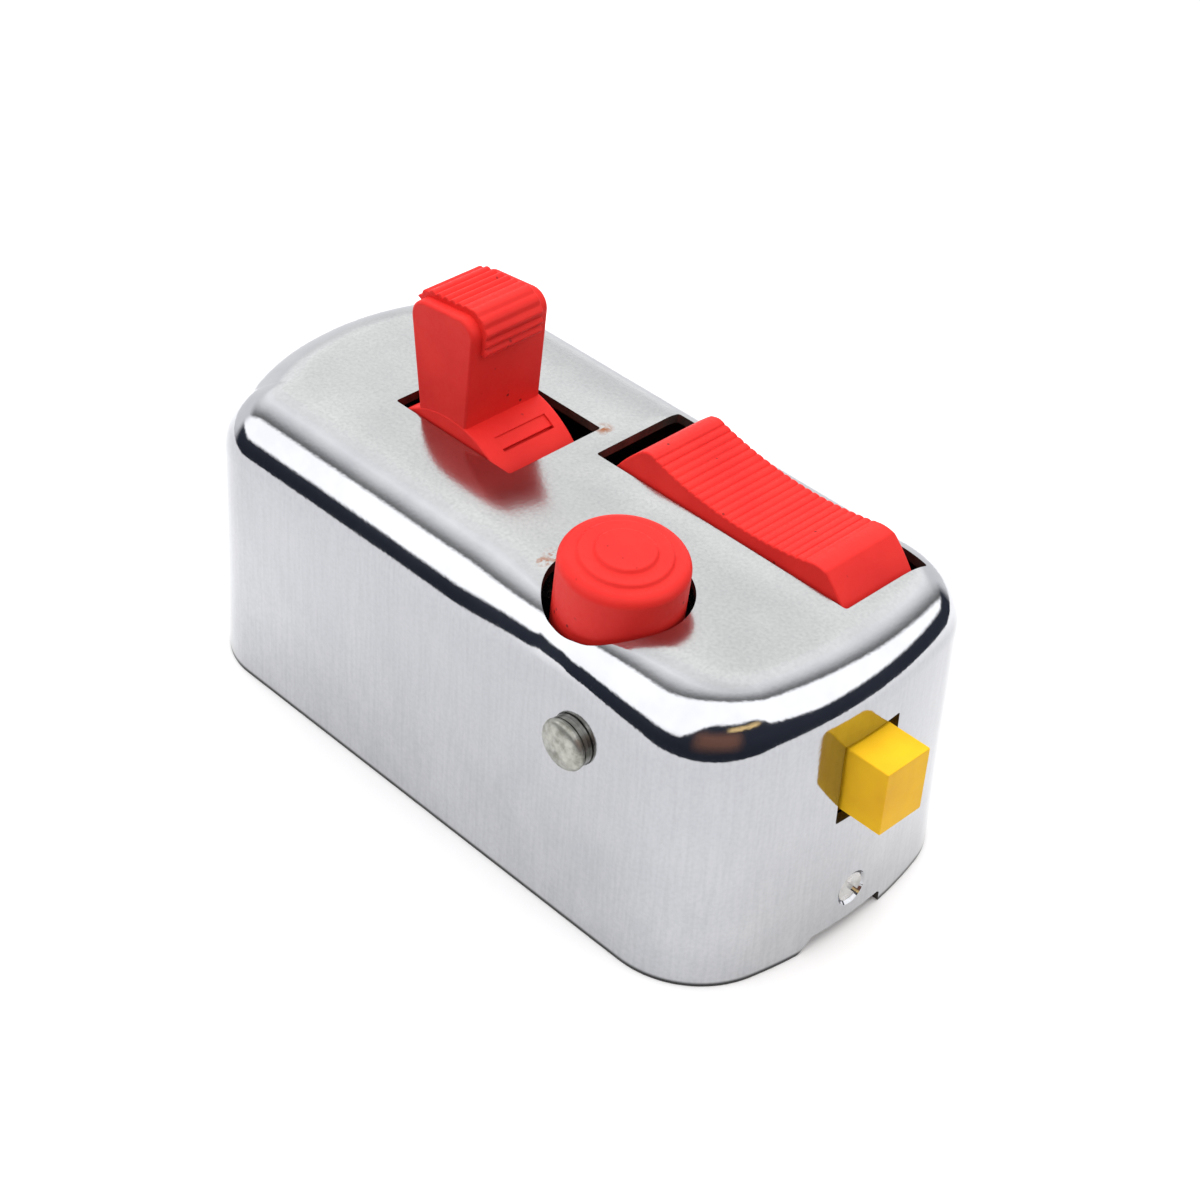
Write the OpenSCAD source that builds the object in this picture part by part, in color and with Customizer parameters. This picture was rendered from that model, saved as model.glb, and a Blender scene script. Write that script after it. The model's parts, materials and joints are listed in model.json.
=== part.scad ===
// Handlebar control switch for a moped or scooter: a pressed, chromed cover over a moulded contact base.
// Millimetres. X runs along the switch towards the push key, Z points up from the mounting face,
// and the origin is midway between the two fixing bushes, on that face.

/* [Cover] */
// Length over the two curved ends
cover_l = 66; // [64:0.5:70]
// Width at the rim
cover_w = 32.5; // [32:0.25:36]
// Height of the flat top above the mounting face
cover_h = 27; // [27:0.25:28]
// Thickness of the pressed steel
cover_wall = 0.8; // [0.6:0.1:0.9]
// Radius rolled along the top edge
top_edge_r = 5; // [4:0.25:5.5]
// Slope of the walls, in degrees
wall_draft = 0.95; // [0.5:0.05:1]

/* [Light lever] */
// Height of the lever's pin above the mounting face
lever_pivot_z = 19.9; // [19.5:0.1:20.5]
// Radius of the lever's drum
lever_drum_r = 8.5; // [8:0.1:8.6]
// Width of the lever across the switch
lever_w = 8.2; // [7.8:0.1:8.3]
// Height of the top of the lever
lever_top_z = 39; // [36:0.25:41]

/* [Rocker] */
// Height of the rocker's pin above the mounting face
rocker_pivot_z = 18; // [17.5:0.1:18.5]
// Radius of the rocker's end faces about its pin
rocker_end_r = 14.85; // [14:0.05:14.9]
// Width of the rocker across the switch
rocker_w = 8; // [7.5:0.1:8.1]
// Lean of the rocker at rest, front end down, in degrees
rocker_lean = 3; // [0:0.5:4]

/* [Push button] */
// Radius of the button
button_r = 5.05; // [4.8:0.05:5.1]
// Height of the button above the cover
button_rise = 4.55; // [4:0.05:5]
// Lean of the cap on its stem, in degrees
button_lean = 6.3; // [0:0.1:7]

/* [Push key] */
// Width of the key
key_w = 4.8; // [4:0.1:5]
// Height of the key
key_h = 6; // [5:0.1:6]
// How far the key stands out of the cover
key_rise = 3.7; // [3:0.1:5]

/* [Fixing] */
// Distance between the two fixing bushes
bush_spacing = 45; // [44.5:0.25:46]
// Thread core radius of a bush, for an M4 screw
bush_hole_r = 1.65; // [1.6:0.01:1.7]

/* [Hidden] */
$fn = 48;

half_l = cover_l / 2;
half_w = cover_w / 2;
inner_h = cover_h - cover_wall;
run_gap = 0.05;      // clearance of a pin or plunger in its hole
slip_gap = 0.1;      // clearance of a sliding or seated moulding
strip_t = 0.5;       // contact strip
plate_t = 0.8;       // bracket plate
rib_h = 0.35;        // finger ribs

// Plan of the cover: arcs at the two ends, run into the straight sides by corner rounds
front_end_r = 41;
front_corner_r = 8.2;
back_end_r = 22;
back_corner_r = 8.6;

// Openings in the cover
lever_slot = [[-15.85, -5.0], [-2.1, 5.1]];
rocker_slot = [[0.3, 2.25], [27.0, 11.8]];
button_hole = [14.25, -9.0];
button_hole_r = 5.8;
key_opening = [[-3.0, 12.4], [3.25, 20.0]];
notch_w = 8;
notch_h = 1.15;

// Contact base
base_t = 4;
base_inset = cover_wall + 0.15;
pocket_d = 1.6;
channel_d = 1.3;

// Cover screws
screw_z = 4.06;
screw_r = 0.95;
screw_head_r = 1.3;
screw_slot_turn = 40;
nut_side = 4.2;
nut_t = 1.5;
nut_x = 28.7;        // inner face of the front nut
nut_back_x = 28.2;   // the same at the back end
end_boss_h = 7.6;

// Side rivet
rivet = [16.75, 17.7];
rivet_head_r = 2.2;
rivet_head_h = 1.2;
rivet_shank_r = 1.0;
rivet_seat = 0.05;   // the flat head's gap on the sloping wall
strip_y = -15.0;     // outer face of the earth strip

// Lever
lever_x = -9.6;
lever_y = -0.65;
lever_pin_r = 1.25;
lever_stem_base = [-3.65, 1.75];  // back and front of the stem at the drum, from the pin
lever_stem_top = [-4.8, 2.7];     // back and front of the stem near its top
lever_top_fall = 0.8;             // drop of the top from front to back
lever_round_r = 1.8;
lever_boss_r = 2.2;
lever_boss_end = 9.8;             // distance of the boss's end from the pin
lever_tip_r = 12.0;               // distance of the plunger's tip from the pin
lever_track_r = lever_tip_r + run_gap;
lever_throw = 16;                 // angle between two neighbouring positions
plunger_r = 1.2;
stud_r = 1.3;

// Rocker
rocker_x = 14.3;
rocker_y = 6.5;
rocker_pin_r = 1.0;
rocker_bottom = 5;                // underside of the bar, above the pin
rocker_top = 11.5;                // top of the bar's ends, above the pin
rocker_dish = 1.3;                // depth of the hollow in its top
rocker_dish_half = 9.4;           // half length of that hollow
rocker_boss_r = 2.0;
rocker_boss_end = 10.5;
rocker_tip_r = 12.95;
rocker_track_r = rocker_tip_r + run_gap;
rocker_throw = 7;
rocker_plunger_r = 1.1;

// Push button
button_at = [14.65, -9.25];
button_lean_way = -19;            // compass direction of the lean, from +X
button_skirt = 4;                 // depth of the cap below the top of the cover
button_edge_r = 0.8;
button_travel = 2.2;
stem_r = 1.5;
stem_end_z = 11.9;
disc_r = 3.4;
disc_z = 13.1;
disc_t = 0.6;
guide_r = 4.8;
guide_cavity_r = 3.9;
guide_top_z = 19;
guide_web_z = 13.8;
guide_foot_z = 2.8;
contact_top_z = disc_z - button_travel - 0.1;

// Push key
key_y = -0.15;
key_z = 16.6;
key_front_x = half_l - 0.28 + key_rise;
key_travel = 2.2;
key_flange_x = 30.1;
key_flange_t = 1.3;
key_tail = 3.0;
key_tail_x = 21.8;
key_guide_x = [22.6, 27.8];
key_spring_x = 24.6;
key_bar_t = 0.8;

spring_wire_r = 0.28;

// ---------------------------------------------------------------- outlines

// Half the angle of an end arc, up to where its corner rounds begin
function end_angle(b, end_r, corner_r) = asin((b - corner_r) / (end_r - corner_r));

function arc(x, y, r, from, to, steps) =
    [for (i = [0:steps]) let (t = from + (to - from) * i / steps) [x + r * cos(t), y + r * sin(t)]];

// One end of the plan, from the +Y side round to the -Y side, taken in by inset
function end_outline(end_r, corner_r, inset) =
    let (
        turn = end_angle(half_w, end_r, corner_r),
        end_x = half_l - end_r,
        corner_x = end_x + (end_r - corner_r) * cos(turn),
        corner_y = half_w - corner_r
    )
    concat(
        arc(corner_x, corner_y, corner_r - inset, 90, turn, 7),
        arc(end_x, 0, end_r - inset, turn * 0.8, -turn * 0.8, 7),
        arc(corner_x, -corner_y, corner_r - inset, -turn, -90, 7)
    );

function plan(inset) = concat(
    end_outline(front_end_r, front_corner_r, inset),
    [for (p = end_outline(back_end_r, back_corner_r, inset)) [-p[0], -p[1]]]
);

// How far the rolled edge and the draft take the outline in at height z, for an edge of radius r
function edge_inset(z, h, r) =
    z * tan(wall_draft) + (z > h - r ? r - sqrt(max(0, r * r - pow(z - h + r, 2))) : 0);

// A block on the plan of the cover, with its top edge rolled over
module plan_block(inset, h, edge_r) {
    steps = 7;
    heights = concat([0], [for (i = [0:steps]) h - edge_r + edge_r * sin(90 * i / steps)]);
    hull() {
        for (z = heights)
            translate([0, 0, max(z - 0.001, 0)]) linear_extrude(0.001)
                polygon(plan(inset + edge_inset(z, h, edge_r)));
    }
}

// Middle of a lever stud, and of a rocker contact bar, in position k = -1, 0 or 1
function stud_x(k) = lever_x + lever_track_r * sin(k * lever_throw);
function bar_mid_x(k) = rocker_x + rocker_track_r * sin(k * rocker_throw);

// ---------------------------------------------------------------- shared shapes

// Cylinder along Y, centred on y
module bar_y(x, y, z, r, len) {
    translate([x, y, z]) rotate([90, 0, 0]) cylinder(r = r, h = len, center = true);
}

// Cylinder along X from x0 to x1
module bar_x(x0, x1, y, z, r) {
    translate([x0, y, z]) rotate([0, 90, 0]) cylinder(r = r, h = x1 - x0);
}

module box(lo, hi) {
    translate(lo) cube(hi - lo);
}

// Compression spring standing on z = 0: a round wire swept along a helix, with closed ends
module coil_spring(r, wire_r, len, turns) {
    sides = 6;
    per_turn = 14;
    rings = turns * per_turn;
    rise = len - 2 * wire_r;
    points = [
        for (i = [0:rings], j = [0:sides - 1])
            let (a = 360 * i / per_turn, b = 360 * j / sides, q = r + wire_r * cos(b))
            [q * cos(a), q * sin(a), wire_r + rise * i / rings + wire_r * sin(b)]
    ];
    walls = [
        for (i = [0:rings - 1], j = [0:sides - 1])
            let (k = (j + 1) % sides)
            [i * sides + j, i * sides + k, (i + 1) * sides + k, (i + 1) * sides + j]
    ];
    caps = [
        [for (j = [sides - 1:-1:0]) j],
        [for (j = [0:sides - 1]) rings * sides + j]
    ];
    polyhedron(points, concat(walls, caps), convexity = 10);
}

// Contact plunger hanging from z = 0 down to a rounded tip
module plunger(r, len) {
    translate([0, 0, -len + r]) sphere(r);
    translate([0, 0, -len + r]) cylinder(r = r, h = len - r);
}

// Half of a pin bracket: an upright cheek with an outward foot. side is -1 or 1.
module pin_bracket(x, y, pivot_z, hole_r, side) {
    difference() {
        union() {
            bar_y(x, y + side * plate_t / 2, pivot_z, 3, plate_t);
            translate([x - 3, side > 0 ? y : y - plate_t, base_t]) cube([6, plate_t, pivot_z - base_t]);
            translate([x - 3, side > 0 ? y : y - 3.9, base_t]) cube([6, 3.9, plate_t]);
        }
        bar_y(x, y, pivot_z, hole_r, 4 * plate_t);
        translate([x, y + side * 2.4, 0]) cylinder(r = 1.0, h = 10);
    }
}

// Small cheese-head screw pointing down, with its head standing on z = 0
module cheese_screw(head_r, head_h, shank_r, len) {
    difference() {
        union() {
            cylinder(r = head_r, h = head_h);
            translate([0, 0, -len]) cylinder(r = shank_r, h = len);
        }
        translate([-head_r, -0.25, head_h - 0.4]) cube([2 * head_r, 0.5, 1]);
    }
}

// ---------------------------------------------------------------- cover

module cover_screw_seat(front) {
    mirror([front ? 0 : 1, 0, 0]) {
        bar_x(half_l - 3, half_l + 1, 0, screw_z, screw_r + 0.05);
        translate([half_l - 0.75, 0, screw_z]) rotate([0, 90, 0]) cylinder(r1 = 1.05, r2 = 1.65, h = 0.8);
    }
}

module cover() {
    color("gainsboro") difference() {
        plan_block(0, cover_h, top_edge_r);
        translate([0, 0, -0.5]) plan_block(cover_wall, inner_h + 0.5, top_edge_r - cover_wall);
        for (slot = [lever_slot, rocker_slot])
            box([slot[0][0], slot[0][1], inner_h - 3], [slot[1][0], slot[1][1], cover_h + 1]);
        translate([button_hole[0], button_hole[1], inner_h - 5]) cylinder(r = button_hole_r, h = 7);
        box([half_l - 2, key_opening[0][0], key_opening[0][1]],
            [half_l + 1, key_opening[1][0], key_opening[1][1]]);
        box([half_l - 2, -notch_w / 2, -1], [half_l + 1, notch_w / 2, notch_h]);
        bar_y(rivet[0], -half_w, rivet[1], rivet_shank_r + run_gap, 4);
        cover_screw_seat(true);
        cover_screw_seat(false);
    }
}

module cover_screw() {
    x = half_l - 0.07;
    difference() {
        union() {
            translate([x - 0.75, 0, screw_z]) rotate([0, 90, 0])
                cylinder(r1 = screw_r, r2 = screw_head_r, h = 0.55);
            bar_x(nut_x - 0.6, x - 0.6, 0, screw_z, screw_r);
        }
        translate([x - 0.5, 0, screw_z]) rotate([screw_slot_turn, 0, 0])
            translate([0, -0.2, -2]) cube([1, 0.4, 4]);
    }
}

module cover_screws() {
    color("silver") {
        cover_screw();
        mirror([1, 0, 0]) cover_screw();
    }
}

module nut(x) {
    difference() {
        box([x, -nut_side / 2, screw_z - nut_side / 2], [x + nut_t, nut_side / 2, screw_z + nut_side / 2]);
        bar_x(x - 1, x + nut_t + 1, 0, screw_z, screw_r + 0.02);
    }
}

module cover_screw_nuts() {
    color("goldenrod") {
        nut(nut_x);
        mirror([1, 0, 0]) nut(nut_back_x);
    }
}

module side_rivet() {
    wall_y = -half_w + rivet[1] * tan(wall_draft) - rivet_seat;
    grip = strip_y + strip_t - wall_y;
    dome_r = (pow(rivet_head_r, 2) + pow(rivet_head_h, 2)) / (2 * rivet_head_h);
    color("darkgray") translate([rivet[0], wall_y, rivet[1]]) rotate([90, 0, 0]) {
        intersection() {
            translate([0, 0, rivet_head_h - dome_r]) sphere(dome_r);
            cylinder(r = rivet_head_r + 1, h = rivet_head_h + 1);
        }
        translate([0, 0, -grip]) cylinder(r = rivet_shank_r, h = grip + 0.1);
        translate([0, 0, -grip - 0.3]) cylinder(r = 1.5, h = 0.3);
    }
}

// ---------------------------------------------------------------- base

module nut_pocket(nut_at) {
    side = nut_side / 2 + slip_gap;
    box([nut_at - slip_gap, -side, screw_z - side], [nut_at + nut_t + slip_gap, side, end_boss_h + 1]);
    bar_x(nut_at - 1, half_l + 1, 0, screw_z, screw_r + 0.1);
}

module contact_base() {
    cradle_y = lever_w / 2 - 0.25;
    color("#2b2523") difference() {
        union() {
            linear_extrude(base_t) polygon(plan(base_inset + base_t * tan(wall_draft)));
            box([nut_x - 1.7, -4.2, 1], [half_l - 1.4, 4.2, end_boss_h]);
            box([-half_l + 1.8, -4.2, 1], [-nut_back_x + 1.7, 4.2, end_boss_h]);
            for (s = [-1, 1]) translate([s * bush_spacing / 2, 0, 0]) cylinder(r = 3.4, h = 7.4);
            box([lever_x - 6.6, lever_y - cradle_y, 1], [lever_x + 6.6, lever_y + cradle_y, 9.8]);
            box([rocker_x - 6, rocker_y - 3.3, 1], [rocker_x + 6, rocker_y + 3.3, 6.4]);
        }
        bar_y(lever_x, lever_y, lever_pivot_z, lever_track_r, 20);
        bar_y(rocker_x, rocker_y, rocker_pivot_z, rocker_track_r, 20);
        nut_pocket(nut_x);
        mirror([1, 0, 0]) nut_pocket(nut_back_x);
        // bores for the fixing bushes, lever studs and bracket screws
        for (s = [-1, 1]) translate([s * bush_spacing / 2, 0, -1]) cylinder(r = 2.72, h = 7.52);
        for (k = [-1:1])
            translate([stud_x(k), lever_y, -1]) cylinder(r = stud_r + 0.02, h = 20);
        for (k = [-1:1])
            translate([bar_mid_x(k) - 0.52, rocker_y - 2.52, -1]) cube([1.04, 5.04, 20]);
        for (p = bracket_screw_places) translate([p[0], p[1], -1]) cylinder(r = 0.92, h = 10);
        translate([button_at[0], button_at[1], guide_foot_z]) cylinder(r = guide_r + 0.02, h = 5);
        // slots for the strips that pass through the base
        box([button_at[0] - 1.65, button_at[1] + 5.45, -1], [button_at[0] + 1.65, button_at[1] + 6.05, 5]);
        for (y = key_strip_ys)
            box([key_strip_x - 0.05, y - 0.05, -1], [key_strip_x + strip_t + 0.05, y + 1.55, 9]);
        // holes for the feet of the key guide
        for (y = [-3.3, 3.3]) translate([30.9, y, 6]) cylinder(r = 0.52, h = 3);
        // wiring space under the base, open to the notch in the rim
        box([lever_x - 5.6, lever_y - 2.6, -1], [lever_x + 5.6, lever_y + 2.6, pocket_d]);
        box([rocker_x - 3.4, rocker_y - 2.9, -1], [rocker_x + 3.4, rocker_y + 2.9, pocket_d]);
        box([key_strip_x - 1, -3.4, -1], [key_strip_x + 1.0, 3.2, pocket_d]);
        box([-6.5, -6.4, -1], [half_l, -4.3, channel_d]);
        box([-6.5, -6.4, -1], [-4.4, -2.0, channel_d]);
        box([10.4, -6.4, -1], [12.0, 4.2, channel_d]);
        box([27.2, -6.4, -1], [half_l, 3.6, channel_d]);
    }
}

module fixing_bushes() {
    color("goldenrod") for (s = [-1, 1]) translate([s * bush_spacing / 2, 0, 0]) difference() {
        cylinder(r = 2.7, h = 6.5);
        translate([0, 0, -1]) cylinder(r = bush_hole_r, h = 9);
    }
}

// ---------------------------------------------------------------- light lever

// Outline of the lever from the side, about its pin
module lever_profile() {
    top = lever_top_z - lever_pivot_z - rib_h;
    back = lever_stem_top[0];
    front = lever_stem_top[1];
    r = lever_round_r;
    difference() {
        circle(lever_drum_r);
        translate([-10, -14]) square([20, 8]);
    }
    polygon([
        [lever_stem_base[0], 0], [lever_stem_base[1], 0], [lever_stem_base[1], 8], [front, top - r],
        [front - r, top], [back + r, top - lever_top_fall], [back, top - lever_top_fall - r],
        [lever_stem_base[0], 8]
    ]);
    translate([front - r, top - r]) circle(r);
    translate([back + r, top - lever_top_fall - r]) circle(r);
}

// Raised cross ribs of the thumb pad along the top of the lever
module lever_pad() {
    pitch = 0.62;
    count = 9;
    middle = (lever_stem_top[0] + lever_stem_top[1]) / 2;
    run = lever_stem_top[1] - lever_stem_top[0] - 2 * lever_round_r;
    for (i = [0:count - 1]) {
        x = middle + (i - (count - 1) / 2) * pitch;
        crown = lever_top_z - lever_pivot_z - lever_top_fall * (middle + run / 2 - x) / run;
        translate([x - pitch * 0.3, -lever_w / 2 + 1.05, crown - 1.6 * rib_h])
            cube([pitch * 0.6, lever_w - 2.2, 1.5 * rib_h]);
    }
}

module at_lever_pin() {
    translate([lever_x, lever_y, lever_pivot_z]) children();
}

module light_lever() {
    color("red") at_lever_pin() difference() {
        union() {
            rotate([90, 0, 0]) linear_extrude(lever_w, center = true) lever_profile();
            lever_pad();
            translate([0, 0, -lever_boss_end]) cylinder(r = lever_boss_r, h = lever_boss_end);
        }
        bar_y(0, 0, 0, lever_pin_r + run_gap, lever_w + 2);
        translate([0, 0, -lever_boss_end - 1]) cylinder(r = plunger_r + run_gap, h = lever_boss_end - 1);
    }
}

module headed_pin(x, y, z, r, len) {
    color("silver") {
        bar_y(x, y, z, r, len);
        for (s = [-1, 1]) bar_y(x, y + s * (len / 2 - 0.2), z, r + 0.6, 0.4);
    }
}

lever_cheek_gap = lever_w / 2 + 0.15;

module lever_pin() {
    headed_pin(lever_x, lever_y, lever_pivot_z, lever_pin_r, 2 * (lever_cheek_gap + plate_t + 0.42));
}

module lever_bracket_left() {
    color("lightgray")
        pin_bracket(lever_x, lever_y - lever_cheek_gap, lever_pivot_z, lever_pin_r + 0.02, -1);
}

module lever_bracket_right() {
    color("lightgray")
        pin_bracket(lever_x, lever_y + lever_cheek_gap, lever_pivot_z, lever_pin_r + 0.02, 1);
}

module lever_contact_plunger() {
    color("gold") at_lever_pin() translate([0, 0, -lever_tip_r + 5]) plunger(plunger_r, 5);
}

module lever_plunger_spring() {
    color("silver") at_lever_pin() translate([0, 0, -6.95]) coil_spring(0.85, spring_wire_r, 4.85, 5);
}

module lever_fixed_contacts() {
    color("gold") difference() {
        for (k = [-1:1])
            translate([stud_x(k), lever_y, pocket_d]) cylinder(r = stud_r, h = 8);
        bar_y(lever_x, lever_y, lever_pivot_z, lever_track_r, 20);
        for (k = [-1:1])
            translate([stud_x(k), lever_y, 0]) cylinder(r = 0.62, h = 5);
    }
}

module terminal_screws() {
    color("silver") for (k = [-1:1])
        translate([stud_x(k), lever_y, pocket_d])
            rotate([180, 0, 0]) cheese_screw(1.3, 1.0, 0.6, 3);
}

// ---------------------------------------------------------------- rocker

module at_rocker_pin() {
    translate([rocker_x, rocker_y, rocker_pivot_z]) rotate([0, rocker_lean, 0]) children();
}

// Outline of the rocker from the side, about its pin
module rocker_profile() {
    dish_r = (pow(rocker_dish_half, 2) + pow(rocker_dish, 2)) / (2 * rocker_dish);
    difference() {
        intersection() {
            circle(rocker_end_r);
            translate([-rocker_end_r, rocker_bottom]) square([2 * rocker_end_r, rocker_top - rocker_bottom]);
        }
        translate([0, rocker_top - rocker_dish + dish_r]) circle(dish_r, $fn = 200);
    }
    circle(3.2);
    translate([-3.2, 0]) square([6.4, rocker_bottom + 1]);
}

module rocker() {
    color("red") at_rocker_pin() difference() {
        union() {
            rotate([90, 0, 0]) linear_extrude(rocker_w, center = true) rocker_profile();
            translate([0, 0, -rocker_boss_end]) cylinder(r = rocker_boss_r, h = rocker_boss_end);
        }
        bar_y(0, 0, 0, rocker_pin_r + run_gap, rocker_w + 2);
        translate([0, 0, -rocker_boss_end - 1])
            cylinder(r = rocker_plunger_r + run_gap, h = rocker_boss_end - 1);
    }
}

rocker_cheek_gap = rocker_w / 2 + 0.2;

module rocker_pin() {
    headed_pin(rocker_x, rocker_y, rocker_pivot_z, rocker_pin_r, 2 * (rocker_cheek_gap + plate_t + 0.42));
}

module rocker_bracket_left() {
    color("lightgray")
        pin_bracket(rocker_x, rocker_y - rocker_cheek_gap, rocker_pivot_z, rocker_pin_r + 0.02, -1);
}

module rocker_bracket_right() {
    color("lightgray")
        pin_bracket(rocker_x, rocker_y + rocker_cheek_gap, rocker_pivot_z, rocker_pin_r + 0.02, 1);
}

module rocker_contact_plunger() {
    color("gold") at_rocker_pin() translate([0, 0, -rocker_tip_r + 5]) plunger(rocker_plunger_r, 5);
}

module rocker_plunger_spring() {
    color("silver") at_rocker_pin() translate([0, 0, -7.9]) coil_spring(0.75, spring_wire_r, 5.8, 6);
}

module rocker_fixed_contacts() {
    color("gold") difference() {
        for (k = [-1:1])
            translate([bar_mid_x(k) - 0.5, rocker_y - 2.5, 0.4]) cube([1, 5, 8]);
        bar_y(rocker_x, rocker_y, rocker_pivot_z, rocker_track_r, 20);
    }
}

lever_foot_y = lever_cheek_gap + 2.4;
rocker_foot_y = rocker_cheek_gap + 2.4;
bracket_screw_places = [
    [lever_x, lever_y - lever_foot_y], [lever_x, lever_y + lever_foot_y],
    [rocker_x, rocker_y - rocker_foot_y], [rocker_x, rocker_y + rocker_foot_y]
];

module bracket_screws() {
    color("silver") for (p = bracket_screw_places)
        translate([p[0], p[1], base_t + plate_t]) cheese_screw(1.4, 1.0, 0.9, 4);
}

// ---------------------------------------------------------------- push button

module lean_cap() {
    translate([button_at[0], button_at[1], cover_h])
        rotate([0, 0, button_lean_way]) rotate([0, button_lean, 0]) rotate([0, 0, -button_lean_way])
            children();
}

// Half section of the cap: a skirt, and a roof with a rounded rim and two shallow steps
module cap_section() {
    step = 0.28;
    difference() {
        union() {
            translate([0, -button_skirt])
                square([button_r, button_skirt + button_rise - step - button_edge_r]);
            square([button_r - button_edge_r, button_rise - step]);
            square([button_r * 0.72, button_rise - step / 2]);
            square([button_r * 0.48, button_rise]);
            translate([button_r - button_edge_r, button_rise - step - button_edge_r]) circle(button_edge_r);
        }
        translate([0, -button_skirt - 1]) square([button_r - 0.9, button_skirt + 3.2]);
    }
}

module horn_button() {
    color("red") {
        lean_cap() rotate_extrude() cap_section();
        translate([button_at[0], button_at[1], stem_end_z])
            cylinder(r = stem_r, h = cover_h + button_rise - 1.4 - stem_end_z);
    }
}

module stem_washer(r, z, t) {
    translate([button_at[0], button_at[1], z]) difference() {
        cylinder(r = r, h = t);
        translate([0, 0, -1]) cylinder(r = stem_r + 0.01, h = t + 2);
    }
}

module horn_contact_disc() {
    color("gold") stem_washer(disc_r, disc_z, disc_t);
}

module horn_stem_clip() {
    color("silver") stem_washer(2.3, disc_z - 0.55, 0.5);
}

module horn_return_spring() {
    color("silver") translate([button_at[0], button_at[1], guide_top_z + 0.05])
        coil_spring(2.3, 0.3, 9.8, 5);
}

module horn_guide() {
    color("#2b2523") translate([button_at[0], button_at[1], 0]) difference() {
        translate([0, 0, guide_foot_z]) cylinder(r = guide_r, h = guide_top_z - guide_foot_z);
        translate([0, 0, 0]) cylinder(r = guide_cavity_r, h = guide_web_z);
        cylinder(r = stem_r + run_gap, h = 30);
        box([-2.2, -8, contact_top_z - 1.3], [2.2, -1, guide_web_z]);
        box([-2.2, 1, contact_top_z - 1.3], [2.2, 8, guide_web_z]);
        box([-8, -8, 0], [8, strip_y + strip_t + 0.55 - button_at[1], 30]);
    }
}

module horn_feed_strip() {
    x0 = button_at[0] - 1.6;
    x1 = button_at[0] + 1.6;
    y = button_at[1];
    color("gold") {
        box([x0, y + 2.6, contact_top_z - strip_t], [x1, y + 6.0, contact_top_z]);
        box([x0, y + 5.5, 0.4], [x1, y + 6.0, contact_top_z]);
    }
}

module horn_earth_strip() {
    x0 = button_at[0] - 1.6;
    color("gold") difference() {
        union() {
            box([x0, strip_y, contact_top_z - strip_t],
                [button_at[0] + 1.6, button_at[1] - 2.6, contact_top_z]);
            box([x0, strip_y, contact_top_z - strip_t], [rivet[0] + 2, strip_y + strip_t, rivet[1] + 2]);
        }
        bar_y(rivet[0], strip_y, rivet[1], rivet_shank_r + 0.02, 3);
    }
}

// ---------------------------------------------------------------- push key

module stop_key() {
    color("gold") {
        box([key_flange_x, key_y - key_w / 2, key_z - key_h / 2],
            [key_front_x, key_y + key_w / 2, key_z + key_h / 2]);
        box([key_flange_x, key_y - 3.7, key_z - 4.7],
            [key_flange_x + key_flange_t, key_y + 3.7, key_z + 3.8]);
        box([key_tail_x, key_y - key_tail / 2, key_z - key_tail / 2],
            [key_flange_x + 1, key_y + key_tail / 2, key_z + key_tail / 2]);
    }
}

key_strip_x = key_tail_x - key_bar_t - key_travel - 0.1 - strip_t;
key_strip_ys = [key_y - 2.7, key_y + 1.2];

module key_contact_bar() {
    color("gold")
        box([key_tail_x - key_bar_t, key_y - 2.9, key_z - 0.9], [key_tail_x, key_y + 2.9, key_z + 0.9]);
}

module key_return_spring() {
    color("silver") translate([key_spring_x + 0.05, key_y, key_z]) rotate([0, 90, 0])
        coil_spring(2.6, 0.25, key_flange_x - key_spring_x - 0.1, 5);
}

module key_guide() {
    tail = key_tail / 2 + slip_gap;
    color("#2b2523") difference() {
        union() {
            box([key_guide_x[0], key_y - 4.2, end_boss_h], [key_guide_x[1], key_y + 4.2, key_z + 3.6]);
            box([key_guide_x[0], key_y - 4.2, end_boss_h], [31.4, key_y + 4.2, end_boss_h + 2]);
            for (y = [-3.3, 3.3]) translate([30.9, y, 6.2]) cylinder(r = 0.5, h = 2);
        }
        box([key_guide_x[0] - 1, key_y - tail, key_z - tail],
            [key_guide_x[1] + 1, key_y + tail, key_z + tail]);
        bar_x(key_spring_x, key_guide_x[1] + 1, key_y, key_z, 3.0);
    }
}

module key_fixed_strips() {
    color("gold") for (y = key_strip_ys)
        box([key_strip_x, y, 0.4], [key_strip_x + strip_t, y + 1.5, key_z + 1.5]);
}

// ---------------------------------------------------------------- build

cover();
cover_screws();
cover_screw_nuts();
side_rivet();
contact_base();
fixing_bushes();
light_lever();
lever_pin();
lever_bracket_left();
lever_bracket_right();
lever_contact_plunger();
lever_plunger_spring();
lever_fixed_contacts();
terminal_screws();
rocker();
rocker_pin();
rocker_bracket_left();
rocker_bracket_right();
rocker_contact_plunger();
rocker_plunger_spring();
rocker_fixed_contacts();
bracket_screws();
horn_button();
horn_contact_disc();
horn_stem_clip();
horn_return_spring();
horn_guide();
horn_feed_strip();
horn_earth_strip();
stop_key();
key_contact_bar();
key_return_spring();
key_guide();
key_fixed_strips();
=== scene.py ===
"""Looks of a chromed handlebar control switch: its cover, levers, button and key as finished
meshes, and every material. Shapes are built in millimetres and scaled to metres at the end."""

import json
import math

import bmesh
import bpy
from mathutils import Matrix, Vector
from mathutils.bvhtree import BVHTree
from mathutils.interpolate import poly_3d_calc


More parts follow.
